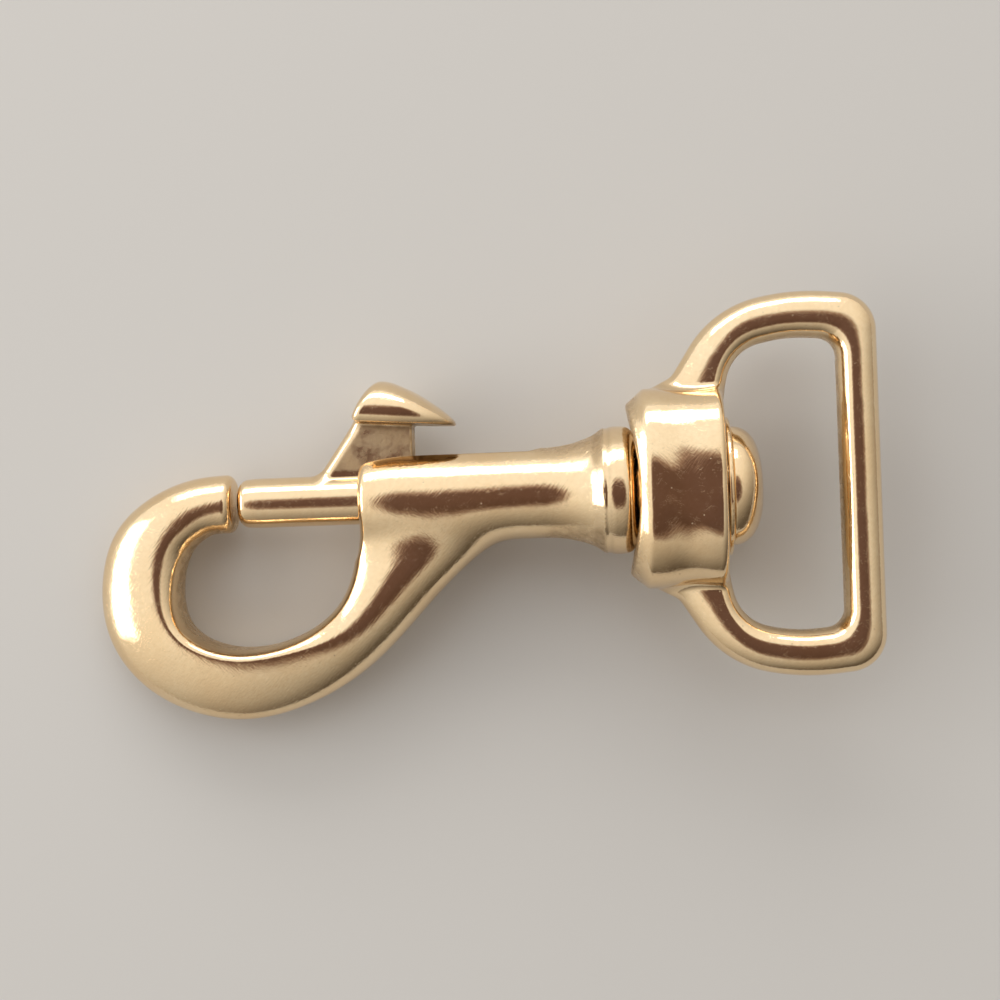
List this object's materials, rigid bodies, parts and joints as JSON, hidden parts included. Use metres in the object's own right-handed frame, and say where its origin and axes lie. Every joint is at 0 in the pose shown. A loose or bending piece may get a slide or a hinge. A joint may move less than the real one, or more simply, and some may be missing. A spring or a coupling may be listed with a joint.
{
  "type": "swivel bolt snap",
  "caption": "Cast brass swivel bolt snap: a hook closed by a spring-loaded sliding bolt with a thumb lug, on a swivelling D-shaped eye for strap webbing.",
  "frame": {"origin": "centre of the strap bar, on the swivel axis", "axes": "+X along the swivel axis from the hook to the strap bar, +Y across the hook plane on the thumb-lug side, +Z square to the hook plane"},
  "size_m": [0.0785, 0.0407, 0.0152],
  "materials": {
    "polished_brass": "polished solid brass casting with small pits and scratches",
    "bolt_brass": "polished brass bolt, cast texture on the lug's web",
    "eye_brass": "polished solid brass casting, faint tarnish on the hub",
    "pin_brass": "polished brass, slightly hammered dome",
    "washer_brass": "turned brass, dull",
    "spring_steel": "drawn stainless spring wire"
  },
  "bodies": {
    "body": {"hook_body": "polished_brass", "swivel_pin": "pin_brass", "swivel_washer": "washer_brass", "bolt_spring": "spring_steel"},
    "bolt": {"bolt": "bolt_brass"},
    "eye": {"swivel_eye": "eye_brass"}
  },
  "joints": [
    {"name": "bolt_slide", "type": "slide", "parent": "body", "child": "bolt", "axis": [1, 0, 0], "range_m": [0, 0.0115], "stiffness_N_per_m": 500, "springref_m": -0.005, "deforming": ["bolt_spring"]},
    {"name": "eye_swivel", "type": "hinge", "parent": "body", "child": "eye", "pos_m": [-0.0175, 0, 0], "axis": [1, 0, 0], "continuous": true}
  ]
}
